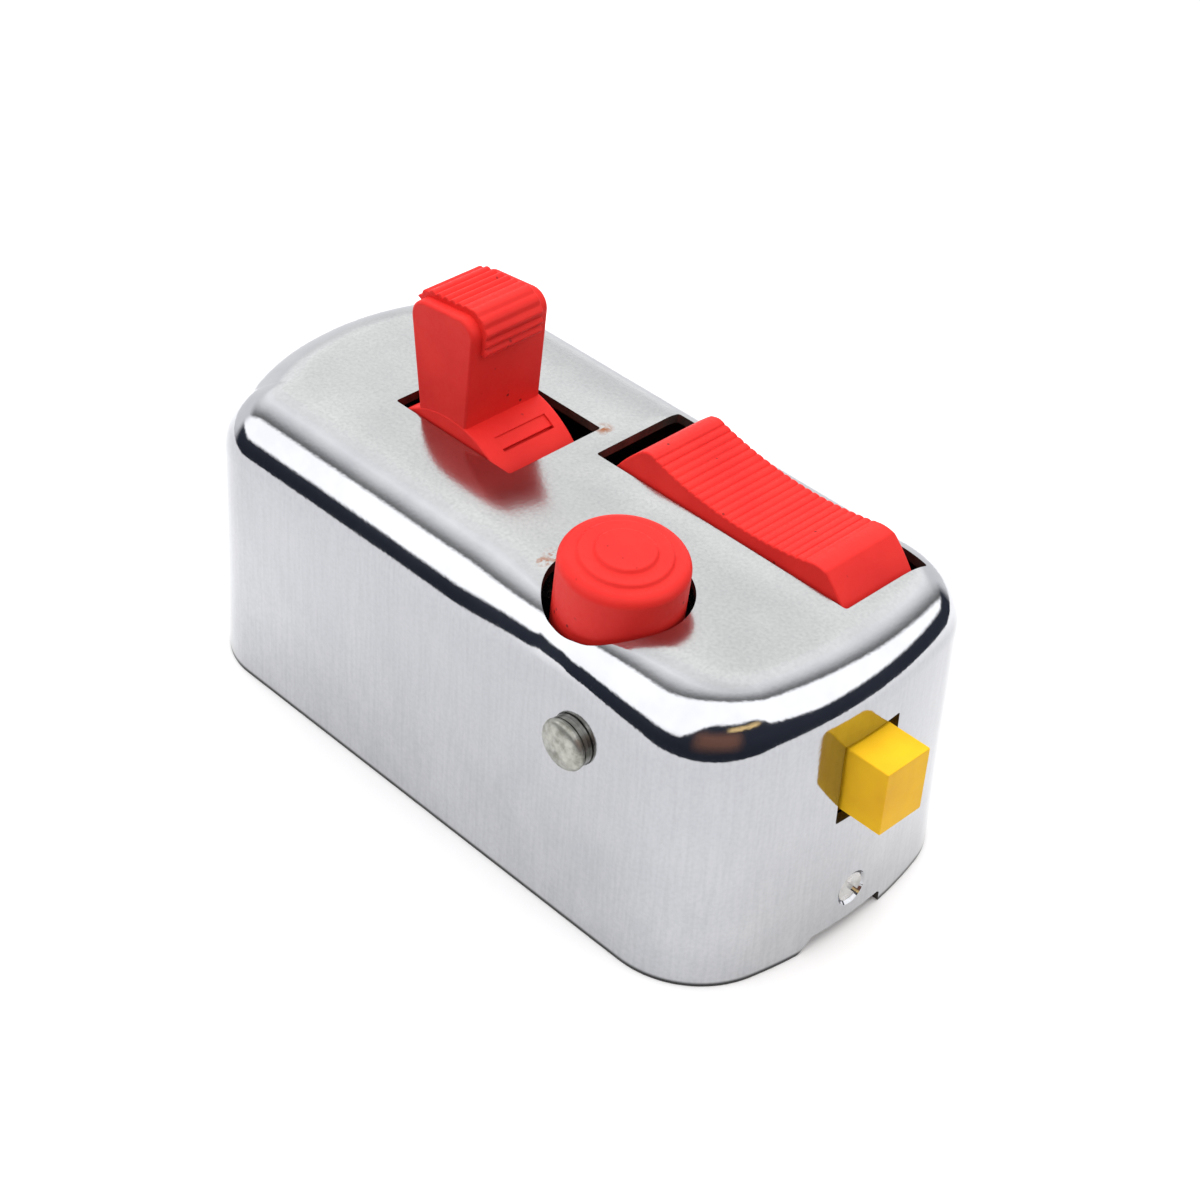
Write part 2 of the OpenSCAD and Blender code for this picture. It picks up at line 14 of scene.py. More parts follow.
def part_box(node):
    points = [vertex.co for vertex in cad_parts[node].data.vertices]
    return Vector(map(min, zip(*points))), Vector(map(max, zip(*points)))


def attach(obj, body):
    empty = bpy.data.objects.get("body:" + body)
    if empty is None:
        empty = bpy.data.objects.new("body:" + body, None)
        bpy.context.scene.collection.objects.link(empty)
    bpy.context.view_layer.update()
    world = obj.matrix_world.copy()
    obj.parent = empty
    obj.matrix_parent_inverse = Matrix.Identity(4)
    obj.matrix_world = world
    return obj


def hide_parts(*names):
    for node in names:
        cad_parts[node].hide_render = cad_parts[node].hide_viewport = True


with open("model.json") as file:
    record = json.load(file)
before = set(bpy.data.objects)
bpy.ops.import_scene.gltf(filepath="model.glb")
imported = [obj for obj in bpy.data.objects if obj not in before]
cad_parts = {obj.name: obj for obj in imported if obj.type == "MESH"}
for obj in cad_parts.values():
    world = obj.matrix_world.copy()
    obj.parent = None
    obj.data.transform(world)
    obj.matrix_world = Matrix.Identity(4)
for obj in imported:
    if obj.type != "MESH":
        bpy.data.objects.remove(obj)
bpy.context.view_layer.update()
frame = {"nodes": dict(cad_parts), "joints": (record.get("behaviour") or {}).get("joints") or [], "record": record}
MM = 0.001

# ------------------------------------------------------------------ sizes, in millimetres


def box_mm(node):
    """Lowest and highest corner of a CAD node, in millimetres."""
    low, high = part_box(node)
    return low / MM, high / MM


def joint_mm(name):
    """A point on a joint's axis, in millimetres."""
    joint = next(j for j in frame["joints"] if j["name"] == name)
    return Vector(joint["pos_m"]) / MM


COVER_LOW, COVER_HIGH = box_mm("cover")
HALF_L = COVER_HIGH.x
BACK_L = -COVER_LOW.x
HALF_W = COVER_HIGH.y
TOP_Z = COVER_HIGH.z
WALL = 0.8
DRAFT = math.tan(math.radians(0.95))  # slope of the walls

# Plan of the cover: (end arc radius, corner radius) for each quadrant, keyed by the signs of x and y
QUADRANTS = {
    (1, 1): (41.4, 8.3),
    (-1, 1): (22.0, 10.2),
    (-1, -1): (22.0, 7.5),
    (1, -1): (41.4, 8.3),
}
SIDE_EDGE_R = 5.6
FRONT_EDGE_R = 4.7
BACK_EDGE_R = 7.0
# The rolled edge is pressed tighter beside the button hole, and tightest where the hole is nearest
HOLE = Vector((14.25, -9.0))
HOLE_R = 5.8
HOLE_POINTS = 144
NEAR_HOLE = ((1.2, 1.0, 11.0), (0.35, 0.9, 2.4))  # (radius taken off, full within, gone beyond)

# Openings, as lowest and highest x then y, or y then z in the end wall
LEVER_SLOT = (-15.85, -2.1, -5.0, 5.1)
ROCKER_SLOT = (0.3, 27.0, 2.25, 11.8)
KEY_OPENING = (-3.0, 3.25, 12.4, 20.0)
# The notch in the rim, as (y, z): a ramp (length, rise) from where it starts, then these corners
NOTCH_START = -5.6
NOTCH_RAMP = (1.7, 1.2)
NOTCH_REST = ((3.7, 1.15), (4.0, 0.9), (4.0, -1.0))
# The cover screw's hole and its cone, as (radius, height) about the wall's outside
SCREW_SEAT = ((0, -3), (1.0, -3), (1.05, -0.75), (1.6, -0.05), (1.85, 0.3), (0, 0.3))
SCREW_SEAT_REACH = 2.5  # the seat's faces are plated out to here
SCREW_Z = sum(c.z for c in box_mm("cover_screws")) / 2

LEVER_PIVOT = joint_mm("lever_tilt")
DRUM_R = 8.5
ROCKER_PIVOT = joint_mm("rocker_tilt")
ROCKER_END_R = 14.85

# ------------------------------------------------------------------ mesh helpers


def make_object(name, verts, faces):
    """A new mesh object from millimetre points, still in millimetres."""
    mesh = bpy.data.meshes.new(name)
    mesh.from_pydata([tuple(v) for v in verts], [], faces)
    mesh.validate()
    obj = bpy.data.objects.new(name, mesh)
    bpy.context.scene.collection.objects.link(obj)
    return obj


def flip_outward(obj):
    """Turn a closed mesh's faces outward."""
    bm = bmesh.new()
    bm.from_mesh(obj.data)
    bmesh.ops.recalc_face_normals(bm, faces=bm.faces)
    bm.to_mesh(obj.data)
    bm.free()


def apply_modifiers(obj):
    """Put the modifiers' result into the mesh."""
    graph = bpy.context.evaluated_depsgraph_get()
    mesh = bpy.data.meshes.new_from_object(obj.evaluated_get(graph))
    obj.modifiers.clear()
    obj.data = mesh


def cut(obj, cutters):
    """Take closed cutters, which don't touch each other, out of obj."""
    for cutter in cutters:
        mod = obj.modifiers.new("cut", "BOOLEAN")
        mod.operation = "DIFFERENCE"
        mod.solver = "EXACT"
        mod.object = cutter
    apply_modifiers(obj)
    for cutter in cutters:
        bpy.data.objects.remove(cutter)


def smooth(obj, angle=35):
    """Smooth shading, with sharp edges kept and large faces staying flat."""
    for poly in obj.data.polygons:
        poly.use_smooth = True
    obj.data.set_sharp_from_angle(angle=math.radians(angle))
    mod = obj.modifiers.new("flat faces", "WEIGHTED_NORMAL")
    mod.keep_sharp = True
    mod.weight = 80
    apply_modifiers(obj)


def join(name, pieces):
    """Join finished meshes into one object."""
    with bpy.context.temp_override(
        active_object=pieces[0], selected_editable_objects=pieces, selected_objects=pieces
    ):
        bpy.ops.object.join()
    pieces[0].name = name
    return pieces[0]


def to_metres(obj):
    """Scale a mesh built in millimetres."""
    obj.data.transform(Matrix.Scale(MM, 4))
    obj.data.update()


def arc(cx, cy, r, start, end, steps):
    """Points on an arc, angles in degrees."""
    out = []
    for i in range(steps + 1):
        a = math.radians(start + (end - start) * i / steps)
        out.append(Vector((cx + r * math.cos(a), cy + r * math.sin(a))))
    return out


def rounded(corners, steps=6):
    """A 2-D path through corners (x, y, radius), each turned into an arc of that radius."""
    out = []
    n = len(corners)
    for i, (x, y, r) in enumerate(corners):
        here = Vector((x, y))
        if r == 0:
            out.append(here)
            continue
        before = Vector(corners[i - 1][:2])
        after = Vector(corners[(i + 1) % n][:2])
        a = (before - here).normalized()
        b = (after - here).normalized()
        half = a.angle(b) / 2
        reach = r / math.tan(half)
        centre = here + (a + b).normalized() * (r / math.sin(half))
        start = here + a * reach - centre
        end = here + b * reach - centre
        sweep = start.angle_signed(end)
        for k in range(steps + 1):
            t = -sweep * k / steps
            u = start.x * math.cos(t) - start.y * math.sin(t)
            v = start.x * math.sin(t) + start.y * math.cos(t)
            out.append(centre + Vector((u, v)))
    return out


def outline_normals(path):
    """Outward unit normals of a closed anticlockwise path."""
    out = []
    n = len(path)
    for i in range(n):
        along = (path[(i + 1) % n] - path[i - 1]).normalized()
        out.append(Vector((along.y, -along.x)))
    return out


def signed_area(path):
    """A closed path's area, negative where it runs clockwise."""
    return sum(a.x * b.y - b.x * a.y for a, b in zip(path, path[1:] + path[:1])) / 2


def ring_faces(n, rings):
    """Quads between neighbouring rings of n points each."""
    faces = []
    for k in range(rings - 1):
        for i in range(n):
            j = (i + 1) % n
            faces.append((k * n + i, k * n + j, (k + 1) * n + j, (k + 1) * n + i))
    return faces


def ring_ends(n, rings):
    """The two faces that close a stack of rings."""
    last = (rings - 1) * n
    return [tuple(range(n))[::-1], tuple(range(last, last + n))]


def prism(name, path, low, high, edge, to_point, steps=3):
    """A closed path extruded from low to high with both rims rounded by edge.
    to_point(u, v, w) turns path coordinates u, v and the height w into a point."""
    if signed_area(path) < 0:
        path = path[::-1]
    normals = outline_normals(path)
    layers = []
    for i in range(steps + 1 if edge else 1):
        a = math.radians(90 * i / steps)
        layers.append((low + edge * (1 - math.sin(a)), edge * (1 - math.cos(a))))
    layers = layers[::-1]
    layers += [(low + high - w, inset) for w, inset in layers[::-1]]
    verts = []
    for w, inset in layers:
        verts += [to_point(p.x - m.x * inset, p.y - m.y * inset, w) for p, m in zip(path, normals)]
    n, rings = len(path), len(layers)
    obj = make_object(name, verts, ring_faces(n, rings) + ring_ends(n, rings))
    flip_outward(obj)
    return obj


def upright(u, v, w):
    """Path in the XY plane, extruded along Z."""
    return (u, v, w)


def sideways(u, v, w):
    """Path in the XZ plane, extruded along Y."""
    return (u, w, v)


def endways(u, v, w):
    """Path in the YZ plane, extruded along X."""
    return (w, u, v)


def rectangle(x0, x1, y0, y1, r):
    """A rectangle's path, with its corners rounded by r."""
    if r == 0:
        return [Vector(p) for p in ((x0, y0), (x1, y0), (x1, y1), (x0, y1))]
    return rounded([(x0, y0, r), (x1, y0, r), (x1, y1, r), (x0, y1, r)], steps=4)


def lathe(name, profile, segments=96):
    """A closed solid of revolution about Z, from (radius, height) points that start and end on it."""
    inner = profile[1:-1]
    verts = [(0, 0, profile[0][1]), (0, 0, profile[-1][1])]
    for r, z in inner:
        for s in range(segments):
            a = 2 * math.pi * s / segments
            verts.append((r * math.cos(a), r * math.sin(a), z))
    faces = []
    last = 2 + (len(inner) - 1) * segments
    for s in range(segments):
        t = (s + 1) % segments
        faces.append((0, 2 + t, 2 + s))
        faces.append((1, last + s, last + t))
        for k in range(len(inner) - 1):
            a = 2 + k * segments
            faces.append((a + s, a + t, a + segments + t, a + segments + s))
    obj = make_object(name, verts, faces)
    flip_outward(obj)
    return obj


def smoothstep(x, low, high):
    """0 up to low, 1 from high, and a smooth rise between."""
    t = min(max((x - low) / (high - low), 0), 1)
    return t * t * (3 - 2 * t)


# ------------------------------------------------------------------ cover

END_STEPS = 14
CORNER_STEPS = 28
# Spacing of the plan's points on the plain side, and on the side that the hole shapes
PLAIN_PITCH = 1.5
HOLE_PITCH = 0.4


def quadrant(sx, sy):
    """Plan points (x, y, nx, ny) from the end's middle round to the straight side."""
    end_r, corner_r = QUADRANTS[(sx, sy)]
    turn = math.asin((HALF_W - corner_r) / (end_r - corner_r))
    cx = (HALF_L if sx > 0 else BACK_L) - end_r
    kx = cx + (end_r - corner_r) * math.cos(turn)
    ky = HALF_W - corner_r
    out = []
    for i in range(END_STEPS):
        a = turn * i / END_STEPS
        out.append((cx + end_r * math.cos(a), end_r * math.sin(a), math.cos(a), math.sin(a)))
    for i in range(CORNER_STEPS + 1):
        a = turn + (math.pi / 2 - turn) * i / CORNER_STEPS
        nx, ny = math.cos(a), math.sin(a)
        out.append((kx + corner_r * nx, ky + corner_r * ny, nx, ny))
    return [(sx * x, sy * y, sx * nx, sy * ny) for x, y, nx, ny in out]


def side_points(x_from, x_to, sy, pitch):
    """Points strictly between two places on a straight side."""
    count = int(abs(x_to - x_from) / pitch)
    return [(x_from + (x_to - x_from) * i / count, sy * HALF_W, 0, sy) for i in range(1, count)]


def cover_plan():
    """The whole plan, anticlockwise from the middle of the front end."""
    front_right = quadrant(1, 1)
    back_right = quadrant(-1, 1)[::-1]
    back_left = quadrant(-1, -1)[1:]
    front_left = quadrant(1, -1)[::-1][:-1]
    return (
        front_right
        + side_points(front_right[-1][0], back_right[0][0], 1, PLAIN_PITCH)
        + back_right
        + back_left
        + side_points(back_left[-1][0], front_left[0][0], -1, HOLE_PITCH)
        + front_left
    )


def edge_radius(x, nx, ny):
    """Radius of the rolled top edge at a place on the plan."""
    end = FRONT_EDGE_R if nx > 0 else BACK_EDGE_R
    r = SIDE_EDGE_R * ny * ny + end * nx * nx
    if ny < -0.9:
        for depth, full, gone in NEAR_HOLE:
            r -= depth * (1 - smoothstep(abs(x - HOLE.x), full, gone))
    return r


def skin(thickness, wall_steps, edge_steps, floor_z):
    """Rings of points up the wall and over the rolled edge, lying thickness inside the outer skin."""
    plan = cover_plan()
    rows = []
    for k in range(wall_steps + edge_steps + 1):
        row = []
        for x, y, nx, ny in plan:
            r = edge_radius(x, nx, ny) - thickness
            shoulder = TOP_Z - thickness - r
            if k < wall_steps:
                z = floor_z + (shoulder - floor_z) * k / wall_steps
                inset = thickness + z * DRAFT
            else:
                a = math.pi / 2 * (k - wall_steps) / edge_steps
                z = shoulder + r * math.sin(a)
                inset = thickness + z * DRAFT + r * (1 - math.cos(a))
            row.append(Vector((x - nx * inset, y - ny * inset, z)))
        rows.append(row)
    return rows


def closed_skin(name, rows):
    """The rings as a closed solid with a flat top and bottom."""
    n, rings = len(rows[0]), len(rows)
    verts = [p for row in rows for p in row]
    return make_object(name, verts, ring_ends(n, rings) + ring_faces(n, rings))


def skin_normals(rows):
    """Normals of the rings, from their neighbours, and straight up along the flat top's rim."""
    n = len(rows[0])
    last = len(rows) - 1
    out = []
    for k, row in enumerate(rows):
        below, above = rows[max(k - 1, 0)], rows[min(k + 1, last)]
        for i in range(n):
            around = row[(i + 1) % n] - row[i - 1]
            normal = around.cross(above[i] - below[i]).normalized()
            out.append(Vector((0, 0, 1)) if k == last else normal)
    return out


def notch_path():
    """The notch in the rim below the key, from its sloping end round to below the rim."""
    length, rise = NOTCH_RAMP
    ramp = [(NOTCH_START + length * t / 8, rise * smoothstep(t / 8, 0, 1)) for t in range(9)]
    return [Vector(p) for p in ((NOTCH_START, -1), *ramp, *NOTCH_REST)]


def cover_cutters():
    """Everything that is cut out of the cover."""
    cutters = []
    for x0, x1, y0, y1 in (LEVER_SLOT, ROCKER_SLOT):
        path = rectangle(x0, x1, y0, y1, 0.25)
        cutters.append(prism("slot", path, TOP_Z - 4, TOP_Z + 1, 0, upright))
    hole = arc(HOLE.x, HOLE.y, HOLE_R, 0, 360 - 360 / HOLE_POINTS, HOLE_POINTS - 1)
    cutters.append(prism("hole", hole, TOP_Z - 6, TOP_Z + 1, 0, upright))
    key = rectangle(*KEY_OPENING, 0.2)
    cutters.append(prism("key", key, HALF_L - 3, HALF_L + 1, 0, endways))
    cutters.append(prism("notch", notch_path(), HALF_L - 4, HALF_L + 1, 0, endways))
    for side in (-1, 1):
        seat = lathe("seat", SCREW_SEAT, 48)
        outward = Matrix.Rotation(side * math.pi / 2, 4, "Y")
        seat.data.transform(Matrix.Translation((side * HALF_L, 0, SCREW_Z)) @ outward)
        cutters.append(seat)
    return cutters


def set_cover_normals(obj, rows):
    """Give the faces that lie on the outer skin its exact normals and the plated material. The cut
    faces and the inside stay flat, and take the second material."""
    normals = skin_normals(rows)
    verts = [p for row in rows for p in row]
    quads = ring_faces(len(rows[0]), len(rows))
    tree = BVHTree.FromPolygons(verts, quads)
    mesh = obj.data
    seat = Vector((HALF_L, 0, SCREW_Z))
    loops = [Vector()] * len(mesh.loops)
    for poly in mesh.polygons:
        poly.use_smooth = True
        _, facing, _, distance = tree.find_nearest(poly.center)
        on_skin = distance < 0.03 and facing.dot(poly.normal) > 0.95
        on_top = poly.center.z > TOP_Z - 0.01
        mirrored = Vector((abs(poly.center.x), poly.center.y, poly.center.z))
        in_seat = (mirrored - seat).length < SCREW_SEAT_REACH
        for loop in poly.loop_indices:
            point = mesh.vertices[mesh.loops[loop].vertex_index].co
            normal = poly.normal
            if on_skin and poly.normal.z < 0.9999:
                hit, _, index, _ = tree.find_nearest(point)
                quad = quads[index]
                weights = poly_3d_calc([verts[q] for q in quad], hit)
                blend = sum((normals[q] * w for q, w in zip(quad, weights)), Vector())
                normal = blend.normalized()
            loops[loop] = normal
        poly.material_index = 0 if on_skin or on_top or in_seat else 1
    mesh.normals_split_custom_set(loops)


def build_cover():
    """The pressed shell with its openings, exact normals outside and bare steel inside."""
    rows = skin(0, 8, 24, COVER_LOW.z)
    cover = closed_skin("cover_shell", rows)
    inside = closed_skin("inside", skin(WALL, 4, 8, COVER_LOW.z - 1))
    cut(cover, [inside] + cover_cutters())
    set_cover_normals(cover, rows)
    return cover


# ------------------------------------------------------------------ light lever

LEVER_Y = (-4.75, 3.45)
STEM_EDGE = 0.3
DRUM_EDGE = 0.2
DRUM_EXTRA = 0.05  # how far the drum stands out of the stem on each side
DRUM_SWEEP = (-45, 225)  # degrees of it that are left round the pin
PAD_Y = (-3.7, 2.35)
PAD_ENDS = (Vector((-7.2, 35.0)), Vector((-14.5, 36.9)))  # low on the front, and on the back edge
PAD_EDGE = 0.12
PAD_RISE = 0.62
PAD_SUNK = 0.5
PAD_RIB_PITCH = 0.80
LABEL_Y = (-3.1, 2.4)
# Marks on the drum's front: (lower angle, upper angle, depth)
LABEL = (57.2, 65.0, 0.16)
SLIT = (55.2, 57.0, 0.55)
# Corners of the stem (x, z, radius), from the front foot up over the top to the back foot
STEM = [(-7.85, 26.0, 0), (-6.95, 38.25, 1.5), (-14.55, 37.45, 1.6), (-13.1, 26.0, 0)]


def drum_path():
    """The drum, cut flat below the pin."""
    x, z = LEVER_PIVOT.x, LEVER_PIVOT.z
    return arc(x, z, DRUM_R, *DRUM_SWEEP, 72)


def tangent_box(low_deg, high_deg, y0, y1, depth):
    """A cutter that reaches depth below the drum's surface between two angles about its axis."""
    corners = arc(LEVER_PIVOT.x, LEVER_PIVOT.z, DRUM_R - depth, low_deg, high_deg, 2)
    corners += arc(LEVER_PIVOT.x, LEVER_PIVOT.z, DRUM_R + 1, high_deg, low_deg, 2)
    return prism("mark", corners, y0, y1, 0, sideways)


def drum_marks():
    """The shallow blank label recess on the drum's front, and the slit under it."""
    return [tangent_box(low, high, *LABEL_Y, depth) for low, high, depth in (LABEL, SLIT)]


def nearest(points, target):
    """Index of the point closest to target."""
    return min(range(len(points)), key=lambda i: (points[i] - target).length)


def pad_rib_depth(along):
    """Depth of the pad's grooves: deep down the front, shallow round the edge, deep on the top."""
    on_front = 1 - smoothstep(along, 2.0, 2.6)
    on_top = smoothstep(along, 4.0, 5.6)
    return 0.12 + 0.16 * on_front + 0.18 * on_top


def pad_path():
    """Side outline of the thumb pad: it follows the stem's top, standing off it in rounded ribs."""
    base = rounded(STEM, steps=10)
    dense = []
    for a, b in zip(base, base[1:]):
        steps = max(int((b - a).length / 0.1), 1)
        dense += [a.lerp(b, i / steps) for i in range(steps)]
    first, last = (nearest(dense, end) for end in PAD_ENDS)
    run = dense[first : last + 1]
    outer, inner = [], []
    travelled = 0
    for i, p in enumerate(run):
        q = run[min(i + 1, len(run) - 1)] - run[max(i - 1, 0)]
        normal = Vector((q.y, -q.x)).normalized()
        if i:
            travelled += (p - run[i - 1]).length
        rib = abs(math.sin(math.pi * travelled / PAD_RIB_PITCH)) ** 0.7
        depth = pad_rib_depth(travelled)
        outer.append(p + normal * (PAD_RISE - depth + depth * rib))
        inner.append(p - normal * PAD_SUNK)
    return outer + inner[::-1]


def build_lever():
    """The toggle lever: a flared stem on a drum, with a ribbed pad over its top."""
    near, far = LEVER_Y
    stem = prism("stem", rounded(STEM, steps=8), near, far, STEM_EDGE, sideways)
    drum = prism("drum", drum_path(), near - DRUM_EXTRA, far + DRUM_EXTRA, DRUM_EDGE, sideways)
    cut(drum, drum_marks())
    pad = prism("pad", pad_path(), *PAD_Y, PAD_EDGE, sideways)
    for piece in (stem, drum, pad):
        smooth(piece, 50)
    return join("lever_handle", [stem, drum, pad])


# ------------------------------------------------------------------ rocker

ROCKER_Y = (2.5, 10.5)
ROCKER_EDGE = 0.18
ROCKER_TOP_STEPS = 330
RIB_PITCH = 0.75
RIB_DEPTH = 0.17
ROCKER_TOP = (Vector((5.75, 29.85)), Vector((23.6, 29.1)))  # its back and front edge, as (x, z)
ROCKER_SAG = 1.25
ROCKER_SKIRT = 5.2  # height of the end faces' lower edge above the pin
# Rounding of the two top edges: (degrees off the end face, steps off the top, steps between)
FRONT_ROUND = (3.5, 16, 7)
BACK_ROUND = (3, 6, 5)


def polar(point):
    """Angle of a point about the rocker's pin, in degrees."""
    return math.degrees(math.atan2(point.y - ROCKER_PIVOT.z, point.x - ROCKER_PIVOT.x))


def bend(start, corner, end, steps):
    """Points between start and end on a curve that turns past corner."""
    out = []
    for i in range(1, steps):
        t = i / steps
        out.append(start * (1 - t) ** 2 + corner * (2 * t * (1 - t)) + end * t * t)
    return out


def rocker_top():
    """The hollow, ribbed top from its front end to its back end. The front end stays plain."""
    back, front = ROCKER_TOP
    down = Vector(((front - back).y, -(front - back).x)).normalized()
    half = (front - back).length / 2
    dish_r = (half * half + ROCKER_SAG * ROCKER_SAG) / (2 * ROCKER_SAG)
    centre = (back + front) / 2 - down * (dish_r - ROCKER_SAG)
    half_turn = math.asin(half / dish_r)
    facing = math.atan2(down.y, down.x)
    length = 2 * half_turn * dish_r
    top = []
    for i in range(ROCKER_TOP_STEPS + 1):
        a = facing + half_turn - 2 * half_turn * i / ROCKER_TOP_STEPS
        along = length * i / ROCKER_TOP_STEPS
        ribbed = smoothstep(along, 0.7, 1.1) * (1 - smoothstep(along, length - 0.9, length - 0.6))
        groove = 1 - abs(math.sin(math.pi * along / RIB_PITCH)) ** 0.45
        r = dish_r + RIB_DEPTH * groove * ribbed
        top.append(centre + Vector((math.cos(a), math.sin(a))) * r)
    return top


def build_rocker():
    """The see-saw bar: round end faces about its pin, under the hollow, ribbed top."""
    px, pz = ROCKER_PIVOT.x, ROCKER_PIVOT.z
    top = rocker_top()
    low = math.degrees(math.asin(ROCKER_SKIRT / ROCKER_END_R))
    front_off, front_cut, front_steps = FRONT_ROUND
    back_off, back_cut, back_steps = BACK_ROUND
    front = arc(px, pz, ROCKER_END_R, low, polar(top[0]) - front_off, 12)
    back = arc(px, pz, ROCKER_END_R, polar(top[-1]) + back_off, 180 - low, 12)
    kept = top[front_cut:-back_cut]
    front += bend(front[-1], top[0], kept[0], front_steps)
    back = bend(kept[-1], top[-1], back[0], back_steps) + back
    rocker = prism("rocker_bar", front + kept + back, *ROCKER_Y, ROCKER_EDGE, sideways)
    smooth(rocker, 40)
    return rocker


# ------------------------------------------------------------------ button, key, rivet

BUTTON_R = 5.05
BUTTON_EDGE = 0.9
BUTTON_RISE = 4.55
BUTTON_STEP = 0.31
BUTTON_LEAN = 6.3
BUTTON_LEAN_WAY = -19  # compass direction of the lean, from +X
BUTTON_UNDER = ((0, 2.3), (3.5, 2.3), (3.5, -4), (BUTTON_R, -4))  # the spring's hollow and the skirt
BUTTON_STEPS_AT = (0.72, 0.47)  # radii of the two steps, as shares of the button's
# Section of a step, as (distance out from its radius, share of its height)
STEP_SHAPE = ((0.22, 0.0), (0.12, 0.05), (0.04, 0.3), (-0.04, 0.7), (-0.12, 0.95), (-0.22, 1.0))
BUTTON_STEM = (1.5, 2.8)  # (radius, height of its top above the cover)

# The key's bar and tail, as (y, y, z, z), and distances in x from the tail's end
KEY_BAR = (-2.55, 2.25, 13.6, 19.6)
KEY_TAIL = (-1.65, 1.35, 15.1, 18.1)
KEY_TAIL_L = 8.5
KEY_FLANGE_X = (8.3, 9.6)
KEY_EDGE = 0.12

# The rivet's head, as (share of its radius, height): two collars with a groove between them
RIVET_SIDE = (
    (0.96, -0.4),
    (0.97, 0.26),
    (0.86, 0.28),
    (0.86, 0.37),
    (0.99, 0.40),
    (1.0, 0.46),
    (1.0, 0.60),
    (0.985, 0.63),
    (0.985, 0.66),
)
RIVET_H = 1.2
# Its dome: (share of the radius, height where it starts, its own height), and its points' angles
DOME = (0.97, 0.68, 0.52)
DOME_ANGLES = (0.1, 0.3, 0.5, 0.7, 0.9, 1.1, 1.3, 1.45)


def build_button():
    """The leaning cap on its upright stem: a skirt, a rounded rim and two shallow steps."""
    rim = BUTTON_RISE - 2 * BUTTON_STEP
    edge = arc(BUTTON_R - BUTTON_EDGE, rim - BUTTON_EDGE, BUTTON_EDGE, 0, 90, 8)
    profile = [*BUTTON_UNDER, *((p.x, p.y) for p in edge)]
    for k, share in enumerate(BUTTON_STEPS_AT):
        for out, up in STEP_SHAPE:
            profile.append((share * BUTTON_R + out, rim + k * BUTTON_STEP + up * BUTTON_STEP))
    profile.append((0, BUTTON_RISE))
    cap = lathe("button_cap", profile, 128)
    low, high = box_mm("horn_contact_disc")
    lean = (
        Matrix.Rotation(math.radians(BUTTON_LEAN_WAY), 4, "Z")
        @ Matrix.Rotation(math.radians(BUTTON_LEAN), 4, "Y")
        @ Matrix.Rotation(math.radians(-BUTTON_LEAN_WAY), 4, "Z")
    )
    at = Vector(((low.x + high.x) / 2, (low.y + high.y) / 2, TOP_Z))
    cap.data.transform(Matrix.Translation(at) @ lean)
    smooth(cap, 60)
    r, rise = BUTTON_STEM
    foot, head = box_mm("horn_button")[0].z, TOP_Z + rise
    stem = lathe("button_stem", [(0, foot), (r, foot), (r, head), (0, head)], 32)
    stem.data.transform(Matrix.Translation((at.x, at.y, 0)))
    smooth(stem, 60)
    return join("button_cap", [cap, stem])


def build_key():
    """The yellow key, with the flange and the tail that stay behind the cover."""
    low, high = box_mm("stop_key")
    flange_back, flange_front = (low.x + x for x in KEY_FLANGE_X)
    key = prism("key_bar", rectangle(*KEY_BAR, KEY_EDGE), flange_back, high.x, KEY_EDGE, endways, steps=2)
    tail = prism("key_tail", rectangle(*KEY_TAIL, KEY_EDGE), low.x, low.x + KEY_TAIL_L, 0, endways)
    plate = rectangle(low.y, high.y, low.z, high.z, 0.3)
    flange = prism("key_flange", plate, flange_back, flange_front, 0, endways)
    smooth(key, 40)
    smooth(flange, 40)
    return join("push_key", [key, flange, tail])


def build_rivet():
    """The side rivet's head: two collars under a shallow dome."""
    low, high = box_mm("side_rivet")
    r = (high.x - low.x) / 2
    profile = [(0, RIVET_SIDE[0][1])]
    profile += [(share * r, z) for share, z in RIVET_SIDE]
    share, start, rise = DOME
    profile += [(share * r * math.cos(t), start + rise * math.sin(t)) for t in DOME_ANGLES]
    profile.append((0, RIVET_H))
    head = lathe("rivet_head", profile, 64)
    at = Vector(((low.x + high.x) / 2, low.y + RIVET_H, (low.z + high.z) / 2))
    head.data.transform(Matrix.Translation(at) @ Matrix.Rotation(math.pi / 2, 4, "X"))
    smooth(head, 30)
    return head


# ------------------------------------------------------------------ materials


